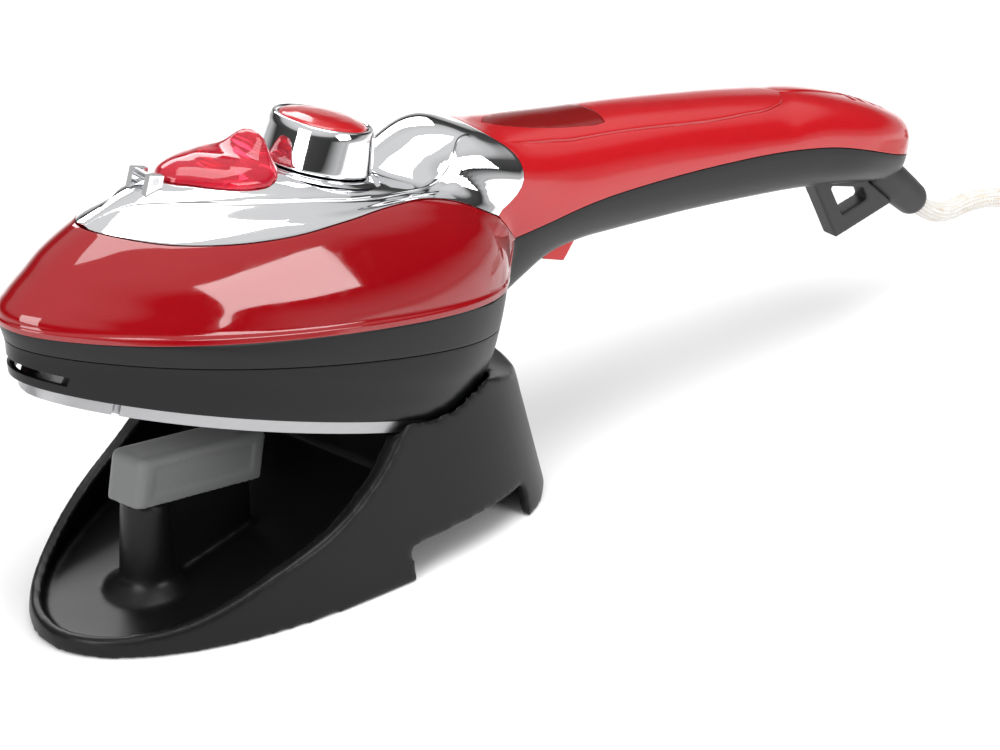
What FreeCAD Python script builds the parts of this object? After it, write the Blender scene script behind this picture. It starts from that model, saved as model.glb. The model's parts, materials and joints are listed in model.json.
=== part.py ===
import FreeCAD, Part
import math
import os

# Hand-held steam iron parked on its stand.
# World frame, millimetres: +Z up, +X from the iron's nose towards its tail, floor at Z = 0.
# Iron frame: x from nose to tail along the sole, y across, z up from the sole's ironing face.
# Stand frame: x along the stand, y across, z up from the floor.

V = FreeCAD.Vector
os.makedirs("parts", exist_ok=True)
doc = FreeCAD.newDocument("steam_iron")

# ---------------------------------------------------------------- driving sizes
sheet = doc.addObject("Spreadsheet::Sheet", "Sizes")
SIZES = [
    # where the iron and the stand are
    ("centre_x", 93.7), ("centre_y", 5.6), ("iron_x", -85.3), ("iron_height", 73.9),
    ("iron_pitch", 17.2), ("stand_yaw", 9.6),
    # iron body
    ("body_length", 157.5), ("body_half_width", 40.2), ("wall", 2.2), ("joint_gap", 0.4),
    ("handle_half_width", 17.5), ("deck_height", 64.8),
    # sole
    ("sole_thick", 3.6), ("sole_inset", 2.4), ("steam_hole", 2.4), ("casting_height", 9),
    # dial
    ("dial_x", 91.6), ("dial_radius", 16.4), ("dial_top_radius", 14.6), ("dial_height", 13.2),
    ("dial_cap_radius", 12.6), ("spindle_radius", 2.5), ("running_gap", 0.08),
    # filler lid
    ("lid_x", 58.5), ("lid_thick", 2.6), ("filler_radius", 5.6), ("filler_gap", 0.9),
    ("pin_radius", 1.2),
    # trigger
    ("trigger_width", 13), ("trigger_pin_x", 194), ("trigger_pin_z", 54.5),
    ("plunger_radius", 2), ("valve_radius", 4.5),
    # tail
    ("guard_radius", 6.1), ("guard_length", 21), ("loop_thick", 6), ("cord_radius", 3.3),
    # stand
    ("stand_front", -82), ("stand_rear", 90), ("stand_half_width", 53.6), ("stand_wall", 3.2),
    ("rim_width", 5.4), ("front_height", 5.2), ("cradle_height", 49.5), ("arch_height", 9.5),
    ("pad_length", 50), ("pad_width", 13), ("pad_height", 14.5), ("post_radius", 6.4),
    # cord and plug
    ("coil_radius", 36), ("coil_tube", 10), ("plug_radius", 18.5), ("prong_radius", 2.4),
]
for row, (alias, number) in enumerate(SIZES, start=1):
    sheet.set("A%d" % row, alias)
    sheet.set("B%d" % row, str(number))
    sheet.setAlias("B%d" % row, alias)
doc.recompute()


def size(alias):
    return float(sheet.get(alias))


# ---------------------------------------------------------------- placements
CENTRE = V(-size("centre_x"), -size("centre_y"), 0)
IRON = FreeCAD.Placement(V(size("iron_x"), 0, size("iron_height")) + CENTRE,
                         FreeCAD.Rotation(V(0, 1, 0), size("iron_pitch")))
STAND = FreeCAD.Placement(CENTRE, FreeCAD.Rotation(V(0, 0, 1), size("stand_yaw")))
WORLD = FreeCAD.Placement(CENTRE, FreeCAD.Rotation())
nodes = []


def feature(label, shape, placement):
    """A finished sub-part whose shape is made here, in its own frame."""
    if shape.ShapeType == "Compound" and len(shape.Solids) == 1:
        shape = shape.Solids[0]
    piece = doc.addObject("Part::Feature", label)
    piece.Shape = shape
    piece.Placement = placement
    piece.Label = label
    nodes.append(piece)
    return piece


def cylinder(label, placement, radius, height, local):
    """A cylinder bound to the sheet; radius and height are expressions."""
    piece = doc.addObject("Part::Cylinder", label)
    piece.setExpression("Radius", radius)
    piece.setExpression("Height", height)
    piece.Placement = placement.multiply(local)
    piece.Label = label
    nodes.append(piece)
    return piece


def box(label, placement, length, width, height, local):
    """A box bound to the sheet; the three sizes are expressions."""
    piece = doc.addObject("Part::Box", label)
    piece.setExpression("Length", length)
    piece.setExpression("Width", width)
    piece.setExpression("Height", height)
    piece.Placement = placement.multiply(local)
    piece.Label = label
    nodes.append(piece)
    return piece


def at(x, y, z, axis=V(0, 0, 1), angle=0.0):
    return FreeCAD.Placement(V(x, y, z), FreeCAD.Rotation(axis, angle))


def rod(start, end, radius):
    """A round rod from one point to another."""
    way = end - start
    return Part.makeCylinder(radius, way.Length, start, way)


def fused(shapes):
    return shapes[0].multiFuse(shapes[1:]).removeSplitter()


def smooth(points):
    curve = Part.BSplineCurve()
    curve.interpolate(points)
    return curve.toShape()


def slab(points, closing, half_width):
    """A side-view region: a smooth line closed by straight edges, pushed across the part."""
    line = smooth([V(x, -half_width, z) for x, z in points])
    corners = [V(x, -half_width, z) for x, z in [points[-1]] + closing + [points[0]]]
    edges = [line] + [Part.makeLine(a, b) for a, b in zip(corners, corners[1:])]
    return Part.Face(Part.Wire(edges)).extrude(V(0, 2 * half_width, 0))


def prism(points, half_width):
    """A side-view polygon pushed across the part."""
    corners = [V(x, -half_width, z) for x, z in points]
    return Part.Face(Part.makePolygon(corners + corners[:1])).extrude(V(0, 2 * half_width, 0))


# ---------------------------------------------------------------- body form
def outline(front, rear, half_width, level, fullness=(0.493, 0.114, 0.062, 0.084), count=24):
    """A boat-shaped closed outline at one level: pointed front, blunt rear."""
    widest = 0.5105
    points = []
    for step in range(count):
        turn = 2 * math.pi * step / count
        along = -math.cos(turn)
        share = sum(part * along ** power for power, part in enumerate(fullness))
        points.append(V(front + (rear - front) * (1 + along) / 2,
                        math.sin(turn) * share * half_width / widest, level))
    curve = Part.BSplineCurve()
    curve.interpolate(points, True)
    return Part.Wire(curve.toShape())


# level, front end, rear end, share of the full half width
BODY_LEVELS = [
    (0.0, 7.0, 154.0, 0.945), (6.0, 4.6, 156.0, 0.985), (13.0, 2.4, 158.4, 1.0), (18.0, -1.0, 160.0, 1.012),
    (22.0, -2.7, 160.6, 1.01), (26.0, -0.2, 160.8, 1.0), (31.0, 2.9, 161.0, 0.98),
    (37.4, 7.0, 161.0, 0.945), (42.4, 12.4, 160.8, 0.905), (47.2, 18.0, 160.0, 0.855),
    (51.5, 24.0, 158.0, 0.80), (55.5, 30.0, 155.0, 0.735), (59.0, 37.0, 150.0, 0.655),
    (62.2, 47.0, 143.0, 0.55), (64.8, 60.0, 132.0, 0.42),
]


def body_form(inset):
    """The body's outer form, or that form moved inwards by a wall."""
    width = size("body_half_width")
    longer = size("body_length") / 157.5
    rise = size("deck_height") / 64.8
    wires = []
    for level, front, rear, share in BODY_LEVELS:
        height = level * rise - inset * level / BODY_LEVELS[-1][0]
        wires.append(outline(front * longer + inset, rear * longer - inset, width * share - inset, height))
    return Part.makeLoft(wires, True, True)


# bottom point (x, z), top point (x, z), half width over the handle's half width
HANDLE_STATIONS = [
    ((158.0, 14.0), (108.0, 48.0), 0.80), ((165.0, 24.0), (108.0, 62.0), 0.92),
    ((173.5, 34.0), (118.0, 73.0), 1.06), ((180.5, 41.5), (131.0, 79.5), 1.16),
    ((191.0, 46.5), (150.0, 79.0), 1.17), ((204.0, 49.4), (178.0, 82.3), 1.10),
    ((220.0, 52.6), (207.0, 86.4), 1.04), ((236.0, 55.8), (231.0, 89.2), 1.0),
    ((257.0, 59.6), (256.0, 91.6), 0.98), ((279.0, 63.2), (280.0, 92.8), 0.98),
    ((302.0, 65.6), (305.0, 91.4), 0.98), ((320.0, 66.4), (321.0, 88.8), 0.94),
    ((330.0, 67.8), (328.5, 86.0), 0.80), ((333.8, 71.5), (332.2, 80.5), 0.45),
]


def ring(low, high, half_width, inset, count=16):
    """A rounded closed section between a low and a high point of the side view."""
    axis = V(high[0] - low[0], 0, high[1] - low[1])
    middle = V((high[0] + low[0]) / 2, 0, (high[1] + low[1]) / 2)
    reach = axis.Length / 2 - inset
    axis.normalize()
    points = []
    for step in range(count):
        turn = 2 * math.pi * step / count
        across = math.copysign(abs(math.cos(turn)) ** 0.8, math.cos(turn))
        upwards = math.copysign(abs(math.sin(turn)) ** 0.8, math.sin(turn))
        points.append(middle + axis * (reach * upwards) + V(0, (half_width - inset) * across, 0))
    curve = Part.BSplineCurve()
    curve.interpolate(points, True)
    return Part.Wire(curve.toShape())


def handle_form(inset):
    """The handle's outer form from inside the body to the tail, or moved inwards by a wall."""
    width = size("handle_half_width")
    stations = HANDLE_STATIONS[:-1] if inset else HANDLE_STATIONS
    rings = [ring(low, high, width * share, inset) for low, high, share in stations]
    bands = [Part.makeLoft([near, far], True, True) for near, far in zip(rings, rings[1:])]
    return bands[0].multiFuse(bands[1:])


outer_form = body_form(0).fuse(handle_form(0))
inner_form = body_form(size("wall")).fuse(handle_form(size("wall")))
skin = outer_form.cut(inner_form)
print("skin", skin.isValid(), round(skin.Volume), len(skin.Solids))

# ---------------------------------------------------------------- seams, in the iron frame
SKIRT_SEAM = ((-20.0, 11.4), (230.0, 34.6))
TANK_SEAM = ((-20.0, 15.6), (230.0, 49.2))


def seam_height(seam, x):
    (x0, z0), (x1, z1) = seam
    return z0 + (z1 - z0) * (x - x0) / (x1 - x0)


below_skirt_seam = prism([SKIRT_SEAM[0], SKIRT_SEAM[1], (230, -30), (-20, -30)], 70)
above_tank_seam = prism([TANK_SEAM[0], TANK_SEAM[1], (380, 49.2), (380, 130), (-20, 130)], 70)
between_seams = prism([SKIRT_SEAM[0], SKIRT_SEAM[1], TANK_SEAM[1], TANK_SEAM[0]], 70)

DECK_SEAM = [(8.0, 45.6), (18.0, 46.2), (32.0, 46.8), (50.0, 49.2), (66.0, 52.4), (84.0, 57.0),
             (102.0, 61.0), (116.0, 62.4), (130.0, 61.4), (146.0, 57.4)]
above_deck_seam = slab(DECK_SEAM, [(160, 57.4), (160, 120), (0, 120), (0, 45.6)], 70)
HANDLE_ARC = [(146.0, 57.4), (151.0, 63.0), (153.0, 70.0), (149.5, 75.8), (142.0, 79.6), (139.0, 86.0)]
behind_arc = slab(HANDLE_ARC, [(139, 130), (380, 130), (380, 57.4)], 70)
TANK_REAR = [(128.0, seam_height(TANK_SEAM, 128.0)), (140.0, 36.4), (150.0, 39.5), (154.5, 44.5),
             (156.0, 50.4)]
behind_tank = slab(TANK_REAR, [(146.0, 57.4), (146, 130), (380, 130), (380, 0), (128, 0)], 70)
HANDLE_SEAM = [(156.0, 50.4), (165.0, 54.6), (176.0, 59.4), (188.0, 63.2), (200.0, 66.2), (215.0, 69.6),
               (239.0, 74.4), (256.0, 77.4), (272.0, 79.4), (286.0, 80.2), (300.0, 79.6),
                (316.0, 78.0), (340.0, 76.4)]
above_handle_seam = slab(HANDLE_SEAM, [(340, 130), (130, 130), (130, 57.4), (146.0, 57.4)], 70)


# ---------------------------------------------------------------- shells of the iron
WALL = size("wall")
GAP = size("joint_gap")
FIT = size("running_gap")
SOLE_TOP = size("sole_thick")
DIAL_X = size("dial_x")
DECK = size("deck_height")
LID_X = size("lid_x")
NOSE = -2.7
ACROSS = V(0, 1, 0)


def upright(x, y, low, high, radius):
    return Part.makeCylinder(radius, high - low, V(x, y, low))


def crosswise(x, z, half_width, radius):
    return Part.makeCylinder(radius, 2 * half_width, V(x, -half_width, z), ACROSS)


def sole_outline(inset, low, high):
    """An upright block with the sole's outline, moved inwards by inset."""
    wire = outline(9.6 + inset, 154.0 - inset, size("body_half_width") - 2.2 - inset, low)
    return Part.Face(wire).extrude(V(0, 0, high - low))


inset = size("sole_inset")
sole = sole_outline(0, 0, SOLE_TOP)
holes = []
for step in range(9):
    along = 26 + 12 * step
    spread = 15 + 13 * math.sin(math.pi * (step + 1) / 12)
    for side in (-1, 1):
        holes.append(upright(along, side * spread, -1, SOLE_TOP + 1, size("steam_hole") / 2))
for step in range(4):
    holes.append(upright(22 + 7 * step, 0, -1, SOLE_TOP + 1, size("steam_hole") / 2))
sole = sole.cut(Part.makeCompound(holes))
feature("sole_plate", sole, IRON)

skirt_solid = outer_form.common(below_skirt_seam)
skirt_room = sole_outline(-GAP, -1, SOLE_TOP).fuse(sole_outline(1.2, -1, 40))
skirt = skirt_solid.cut(skirt_room)
nose_slot = Part.makeBox(16, 40, 2.6, V(NOSE - 2, -20, 6.2))
skirt = skirt.cut(nose_slot)
feature("lower_skirt", skirt, IRON)

upper_band = skin.common(between_seams).cut(behind_tank)
upper_band = max(upper_band.Solids, key=lambda solid: solid.Volume)
feature("upper_skirt", upper_band, IRON)

tank_zone = above_tank_seam.cut(above_deck_seam).cut(behind_tank)
tank_skin = skin.common(tank_zone)
feature("water_tank", tank_skin, IRON)

floor_low = (0, seam_height(TANK_SEAM, 0) + 0.2)
floor_high = (140, seam_height(TANK_SEAM, 140) + 0.2)
floor_slab = prism([floor_low, floor_high, (140, floor_high[1] + 2), (0, floor_low[1] + 2)], 60)
tank_floor = inner_form.common(floor_slab).cut(upright(DIAL_X, 0, 0, 80, 6.5))
tank_floor = tank_floor.common(Part.makeBox(126, 80, 80, V(0, -40, 0)))
feature("tank_floor", tank_floor, IRON)

deck_zone = above_deck_seam.cut(behind_arc)
deck = skin.common(deck_zone)
filler_hole = upright(LID_X, 0, 40, 90, size("filler_radius") + size("filler_gap"))
spindle_hole = upright(DIAL_X, 0, 40, 90, size("spindle_radius") + FIT)
deck = deck.cut(filler_hole).cut(spindle_hole)
feature("top_cover", deck, IRON)

filler_neck = upright(LID_X, 0, 46, 58.4, size("filler_radius") + size("filler_gap") + 1.6)
filler_neck = filler_neck.cut(upright(LID_X, 0, 40, 70, size("filler_radius") + size("filler_gap")))
filler_neck = filler_neck.common(inner_form)
feature("filler_neck", filler_neck, IRON)

# ---------------------------------------------------------------- handle halves
behind_body = behind_arc.fuse(prism([(146, 57.4), (146, 50), (380, 50), (380, 57.4)], 70))
upper_zone = above_handle_seam.common(behind_body)
window_block = prism([(160, 70), (160, 100), (196, 104), (196, 70)], 8.4)
window_room = prism([(160, 70), (160, 100), (196, 104), (196, 70)], 8.4 + GAP)
upper_half = skin.common(upper_zone.cut(above_deck_seam.cut(behind_arc)))
window = upper_half.common(window_block).common(prism([(158, 70), (158, 120), (200, 120), (200, 70)], 20))
upper_half = upper_half.cut(window_room)
VENTS = (300, 305, 310, 315)
vents = [prism([(start, 84), (start + 2, 84), (start + 2, 100), (start, 100)], 8) for start in VENTS]
upper_half = upper_half.cut(Part.makeCompound(vents))
feature("handle_upper", upper_half, IRON)
feature("indicator_window", window, IRON)

lower_zone = behind_tank.cut(above_handle_seam).cut(below_skirt_seam)
lower_half = skin.common(lower_zone)
TRIGGER_HALF = size("trigger_width") / 2
trigger_slot = Part.makeBox(20, 2 * (TRIGGER_HALF + GAP), 30, V(178.5, -TRIGGER_HALF - GAP, 30))
lower_half = lower_half.cut(trigger_slot)
guard_hole = rod(V(322, 0, 70.8), V(340, 0, 62.3), size("guard_radius") + 0.02)
lower_half = lower_half.cut(guard_hole)
SCREWS = [(246.0, 57.0), (288.0, 64.4)]


def handle_screw(along, low):
    return upright(along, 0, low, low + 3, 3.4).fuse(upright(along, 0, low + 3, low + 12, 1.6))


for along, low in SCREWS:
    lower_half = lower_half.cut(handle_screw(along, low)).cut(upright(along, 0, low - 6, low, 3.4))
feature("handle_lower", lower_half, IRON)
# ---------------------------------------------------------------- dial
DIAL_LOW = DECK + GAP
DIAL_HIGH = DIAL_LOW + size("dial_height")
DIAL_FOOT = V(DIAL_X, 0, DIAL_LOW)
dial = Part.makeCone(size("dial_radius"), size("dial_top_radius"), size("dial_height"), DIAL_FOOT)
dial = dial.cut(upright(DIAL_X, 0, DIAL_HIGH - 1.6, DIAL_HIGH + 1, size("dial_cap_radius")))
dial = dial.cut(upright(DIAL_X, 0, DIAL_LOW - 1, DIAL_LOW + 7, size("spindle_radius")))
feature("temperature_dial", dial, IRON)
dome = Part.makeSphere(40, V(DIAL_X, 0, DIAL_HIGH + 1.6 - 40))
cap = upright(DIAL_X, 0, DIAL_HIGH - 1.6, DIAL_HIGH + 4, size("dial_cap_radius")).common(dome)
feature("dial_cap", cap, IRON)
THERMOSTAT_TOP = 27.0
SPINDLE_LENGTH = "Sizes.deck_height + Sizes.joint_gap + 7 - %g" % (THERMOSTAT_TOP + GAP)
cylinder("dial_spindle", IRON, "Sizes.spindle_radius", SPINDLE_LENGTH,
         at(DIAL_X, 0, THERMOSTAT_TOP + GAP))

# ---------------------------------------------------------------- filler lid
HINGE_X = 34.6
HINGE_Z = 60.4
PIN = size("pin_radius")
LEAF = [(38.4, 0.0), (42.0, -5.0), (50.0, -10.6), (60.0, -13.8), (67.0, -13.6), (71.5, -9.0), (73.2, 0.0)]
leaf_points = LEAF + [(x, -y) for x, y in LEAF[-2:0:-1]]
leaf_curve = Part.BSplineCurve()
leaf_curve.interpolate([V(x, y, 40) for x, y in leaf_points], True)
leaf = Part.Face(Part.Wire(leaf_curve.toShape())).extrude(V(0, 0, 50))
lower_face = body_form(0).translated(V(0, 0, GAP))
upper_face = body_form(0).translated(V(0, 0, GAP + size("lid_thick")))
lid = leaf.common(upper_face).cut(lower_face)
knuckle = crosswise(HINGE_X, HINGE_Z, 2.2, 2.0)
ARM_TIP = 42
arm_side = [(HINGE_X, HINGE_Z + 1.9), (HINGE_X, HINGE_Z - 0.6), (ARM_TIP, HINGE_Z + 1.4),
            (ARM_TIP, HINGE_Z + 3.6)]
arm = prism(arm_side, 2.2)
fin = prism([(60.5, DECK), (65.5, DECK + 7.2), (69.5, DECK + 7.8), (71.5, DECK)], 5.5)
fin = fin.cut(lower_face)
lid = lid.fuse(arm.cut(lower_face)).fuse(knuckle.cut(lower_face)).fuse(fin)
lid = lid.cut(crosswise(HINGE_X, HINGE_Z, 10, PIN + FIT)).removeSplitter()
feature("filler_lid", lid, IRON)
feature("lid_pin", crosswise(HINGE_X, HINGE_Z, 4.6, PIN), IRON)
LUG_HALF = 2.4
LUG_TOP = HINGE_Z + 1.6
lug_form = prism([(HINGE_X - LUG_HALF, 50), (HINGE_X - LUG_HALF, LUG_TOP), (HINGE_X + LUG_HALF, LUG_TOP),
                  (HINGE_X + LUG_HALF, 50)], 4.6)
lugs = lug_form.cut(Part.makeBox(20, 2 * (2.2 + GAP), 40, V(HINGE_X - 10, -2.2 - GAP, 40)))
lugs = lugs.cut(crosswise(HINGE_X, HINGE_Z, 10, PIN)).cut(body_form(0))
for number, lug in enumerate(lugs.Solids, start=1):
    feature("lid_hinge_lug_%d" % number, lug, IRON)
plug_stem = upright(LID_X, 0, 56.6, 66, size("filler_radius"))
plug_stem = plug_stem.common(lower_face.fuse(body_form(0).translated(V(0, 0, GAP))))
feature("filler_seal", plug_stem, IRON)

# ---------------------------------------------------------------- trigger and valve
PIVOT_X = size("trigger_pin_x")
PIVOT_Z = size("trigger_pin_z")
trigger = prism([(181.6, 40.0), (190.4, 39.6), (192.8, 46.0), (197.0, 51.6), (197.0, 57.0), (183.4, 57.0),
                 (181.6, 53.0)], TRIGGER_HALF)
trigger = trigger.cut(crosswise(PIVOT_X, PIVOT_Z, 20, PIN + FIT))
feature("steam_trigger", trigger, IRON)
feature("trigger_pin", crosswise(PIVOT_X, PIVOT_Z, TRIGGER_HALF + 4.5, PIN), IRON)
coil = crosswise(PIVOT_X, PIVOT_Z, TRIGGER_HALF + 3.2, 2.6).cut(crosswise(PIVOT_X, PIVOT_Z, 40, PIN + 0.4))
coil = coil.cut(Part.makeBox(40, 2 * (TRIGGER_HALF + GAP), 40, V(170, -TRIGGER_HALF - GAP, 30)))
coil = coil.common(Part.makeBox(60, 30, 60, V(170, 0, 30)))
feature("trigger_spring", coil, IRON)
VALVE_X = 186.0
PLUNGER_LOW = 57.0 + GAP
PLUNGER_RADIUS = size("plunger_radius")
cylinder("valve_plunger", IRON, "Sizes.plunger_radius", "10", at(VALVE_X, 0, PLUNGER_LOW))
valve = upright(VALVE_X, 0, 61.2, 75, size("valve_radius"))
valve = valve.cut(upright(VALVE_X, 0, 61, 72, PLUNGER_RADIUS + FIT))
feature("valve_body", valve, IRON)
tube_top = rod(V(150, 0, 66.4), V(VALVE_X - size("valve_radius") - 0.2, 0, 66.4), 1.6)
tube_down = rod(V(150, 0, 66.4), V(150, 0, 47), 1.6)
feature("water_tube", fused([tube_top, tube_down, Part.makeSphere(1.6, V(150, 0, 66.4))]), IRON)

# ---------------------------------------------------------------- heater, inside the lower skirt
CASTING_TOP = SOLE_TOP + 0.3 + size("casting_height")
casting = sole_outline(5.4, SOLE_TOP, CASTING_TOP)
chamber = sole_outline(17, CASTING_TOP - 4, CASTING_TOP + 1)
casting = casting.cut(chamber)
ELEMENT_Z = SOLE_TOP + 3.4
element_path = [V(140, -12, ELEMENT_Z), V(90, -22, ELEMENT_Z), V(45, -13, ELEMENT_Z), V(30, 0, ELEMENT_Z),
                V(45, 13, ELEMENT_Z), V(90, 22, ELEMENT_Z), V(140, 12, ELEMENT_Z)]
runs = [rod(a, b, 2.1) for a, b in zip(element_path, element_path[1:])]
balls = [Part.makeSphere(2.1, point) for point in element_path[1:-1]]
element = runs[0].multiFuse(runs[1:] + balls)
casting = casting.cut(element)
feature("heater_casting", casting, IRON)
feature("heating_element", element, IRON)
gasket = sole_outline(13, CASTING_TOP, CASTING_TOP + 1)
gasket = gasket.cut(sole_outline(17, CASTING_TOP - 1, CASTING_TOP + 2))
feature("chamber_gasket", gasket, IRON)
feature("chamber_cover", sole_outline(13, CASTING_TOP + 1, CASTING_TOP + 2.2), IRON)
COVER_TOP = CASTING_TOP + 2.2
cylinder("thermostat", IRON, "8", "%g" % (THERMOSTAT_TOP - COVER_TOP), at(DIAL_X, 0, COVER_TOP))
box("thermal_fuse", IRON, "14", "5", "4", at(112, -2.5, COVER_TOP))
tube_low = seam_height(TANK_SEAM, DIAL_X) - 3
sleeve = upright(DIAL_X, 0, tube_low, 62.4, 4.4).cut(upright(DIAL_X, 0, 0, 90, size("spindle_radius") + GAP))
feature("spindle_sleeve", sleeve, IRON)

# ---------------------------------------------------------------- wiring and tail
box("terminal_block", IRON, "22", "18", "9", at(214, -9, 64))
cylinder("indicator_lamp", IRON, "2.6", "6", at(172, 0, 70))
LEAD = 1.2
for number, side in enumerate((-4.5, 4.5), start=1):
    corners = [V(313, side, 73), V(270, side, 71), V(236.2, side, 68)]
    lead = fused([rod(corners[0], corners[1], LEAD), rod(corners[1], corners[2], LEAD),
                  Part.makeSphere(LEAD, corners[1])])
    feature("mains_lead_%d" % number, lead, IRON)
box("cord_clamp", IRON, "8", "17", "5.5", at(313.2, -8.5, 70.4))
GUARD_START = V(322, 0, 70.8)
GUARD_WAY = V(0.905, 0, -0.426)
GUARD_END = GUARD_START + GUARD_WAY * (size("guard_length") + 8)
guard = rod(GUARD_START, GUARD_END, size("guard_radius"))
feature("cord_guard", guard, IRON)
HALF_LOOP = size("loop_thick") / 2
loop = prism([(291.0, 68.0), (311.8, 46.6), (334.0, 58.6), (330, 69.0)], HALF_LOOP)
loop_hole = prism([(303.0, 63.4), (312.0, 54.4), (322.0, 59.8), (318.5, 63.4)], 20)
guard_room = rod(GUARD_START, GUARD_END + GUARD_WAY * 20, size("guard_radius"))
loop = loop.cut(loop_hole).cut(outer_form).cut(guard_room)
loop = max(loop.Solids, key=lambda solid: solid.Volume)
feature("hanging_loop", loop, IRON)
for number, (along, low) in enumerate(SCREWS, start=1):
    feature("handle_screw_%d" % number, handle_screw(along, low), IRON)

# ---------------------------------------------------------------- stand
FRONT = size("stand_front")
REAR = size("stand_rear")
STAND_WALL = size("stand_wall")
STAND_HALF = size("stand_half_width")
DRAFT = 0.2
STAND_TOP = 60
STAND_FULLNESS = (0.591, 0.149, 0.16, 0.106)


def stand_outline(inset, level):
    """The stand's closed outline at one level; it draws in as it rises."""
    drawn = inset + DRAFT * level
    return outline(FRONT + drawn * 0.6, REAR - drawn, (STAND_HALF - drawn) * 0.816, level, STAND_FULLNESS)


def stand_block(inset, low, high):
    return Part.makeLoft([stand_outline(inset, low), stand_outline(inset, high)], True, True)


CRADLE = size("cradle_height")
RIM_LINE = [(-95.0, 5.0), (-80.0, size("front_height")), (-58.0, 8.0), (-46.0, 12.0), (-32.0, 17.2),
            (-17.0, 22.4), (-3.0, 30.0), (7.0, 38.0), (15.0, 46.0), (21.0, CRADLE), (40.0, CRADLE - 1.0),
            (95.0, CRADLE - 4.8)]
below_rim = slab(RIM_LINE, [(95, -5), (-95, -5)], 80)
FLOOR_LINE = [(-95.0, 3.0), (-60.0, 3.2), (-20.0, 6.4), (0.0, 9.4), (12.0, 13.0), (95.0, 26.0)]
above_floor = slab(FLOOR_LINE, [(95, 80), (-95, 80)], 80)
under_floor = slab([(x, z - 2.6) for x, z in FLOOR_LINE], [(95, -5), (-95, -5)], 80)
stand = stand_block(0, 0, STAND_TOP).common(below_rim)
dish = stand_block(size("rim_width"), 2, STAND_TOP + 2).common(above_floor)
hollow = stand_block(STAND_WALL, -1, STAND_TOP).common(under_floor)
arch = Part.makeBox(48, 160, size("arch_height") + 5, V(9, -80, -5))
stand = stand.cut(dish).cut(hollow).cut(arch)

SEAT_GAP = 0.7
to_stand = STAND.inverse().multiply(IRON)


def lift_room(level, front, rear, share, spread):
    """Room for one outline of the iron's heel, from its resting place straight up."""
    half_width = size("body_half_width") * share
    face = Part.Face(outline(front - spread, rear + spread, half_width + spread, level))
    face.Placement = to_stand
    return face.extrude(V(0, 0, 150))


seat_front = 26
seat_rear = 70
seat = Part.makeBox(seat_rear - seat_front, 52, 50, V(seat_front, -34, 10))
seat = seat.common(stand_block(size("rim_width") - 1, 2, STAND_TOP)).common(below_rim)
seat_hollow = Part.makeBox(seat_rear - seat_front - 6, 46, 50, V(seat_front + 3, -31, 8))
seat_roof = outline(-40, 260, 90, -SEAT_GAP - 2.4)
roof_face = Part.Face(seat_roof)
roof_face.Placement = to_stand
seat_hollow = seat_hollow.cut(roof_face.extrude(V(0, 0, 80)))
seat = seat.cut(seat_hollow).cut(under_floor)

PAD_LENGTH = size("pad_length")
PAD_WIDTH = size("pad_width")
PAD_HEIGHT = size("pad_height")
PAD_TILT = 11.5
POST_X = -46.0
PAD_FRONT = POST_X - 8.5
PAD_LOW = 33.0
PAD_PLACE = at(PAD_FRONT, 0, PAD_LOW, ACROSS, PAD_TILT)
POST = size("post_radius")
post_core = Part.makeCone(POST + 1.6, POST, 31, V(POST_X, 0, 3.2))
post_foot = Part.makeCone(POST + 6.5, POST + 1.0, 5, V(POST_X, 0, 3.2))
WEB_REAR = PAD_FRONT + PAD_LENGTH - 2
web = prism([(POST_X, 3.6), (POST_X, 40), (WEB_REAR, 40), (WEB_REAR, 7.5)], 2.6)
support = post_core.fuse(post_foot).fuse(web)
pad_over = Part.makeBox(PAD_LENGTH + 20, 60, 80, V(-10, -30, 0))
pad_over.Placement = PAD_PLACE
support = support.cut(pad_over).cut(under_floor)
stand = stand.fuse(seat).fuse(support)
HEEL_GAP = 1.3
HEEL_LEVELS = [(-SEAT_GAP, 7.0, 154.8, 0.955), (2.0, 6.4, 155.6, 0.97), (4.0, 6.0, 156.2, 0.985),
               (6.0, 5.0, 156.9, 0.995), (8.0, 4.0, 157.7, 1.0), (10.5, 3.0, 158.6, 1.005),
               (13.0, 2.4, 159.5, 1.01), (15.5, 0.6, 160.6, 1.012), (18.0, -1.2, 161.8, 1.014),
               (20.5, -2.2, 163.6, 1.014), (23.0, -2.7, 165.6, 1.014), (26.0, -2.0, 168.2, 1.014),
               (29.0, -1.0, 171.0, 1.014)]
for level, front, rear, share in HEEL_LEVELS:
    stand = stand.cut(lift_room(level, front, rear, share, HEEL_GAP))
stand = max(stand.Solids, key=lambda solid: solid.Volume)
feature("stand_shell", stand, STAND)

pad = Part.makeBox(PAD_LENGTH, PAD_WIDTH, PAD_HEIGHT, V(0, -PAD_WIDTH / 2, 0))
pad = pad.makeFillet(2.4, [edge for edge in pad.Edges if edge.BoundBox.ZMax > PAD_HEIGHT / 2])
for side in (-1, 1):
    panel = Part.makeBox(PAD_LENGTH - 10, 1.2, PAD_HEIGHT - 6, V(5, side * PAD_WIDTH / 2 - 0.6, 3))
    pad = pad.cut(panel)
feature("support_pad", pad, STAND.multiply(PAD_PLACE))

# ---------------------------------------------------------------- cord, coil and plug
CORD = size("cord_radius")
COIL = size("coil_radius")
COIL_TUBE = size("coil_tube")
guard_exit = WORLD.inverse().multiply(IRON).multVec(GUARD_END)
ROUTE = [guard_exit, guard_exit + V(6.6, 0, -5.6), guard_exit + V(15.2, 0, -8.6),
         guard_exit + V(24.6, 0.6, -8.0), guard_exit + V(35.0, -0.6, -8.4), guard_exit + V(46.5, -2.6, -11.8),
         V(325, -7, 9.6), V(337, -14, 5.4), V(347, -25, 3.9), V(352, -38, 3.7), V(354, -52, 3.7)]


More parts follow.
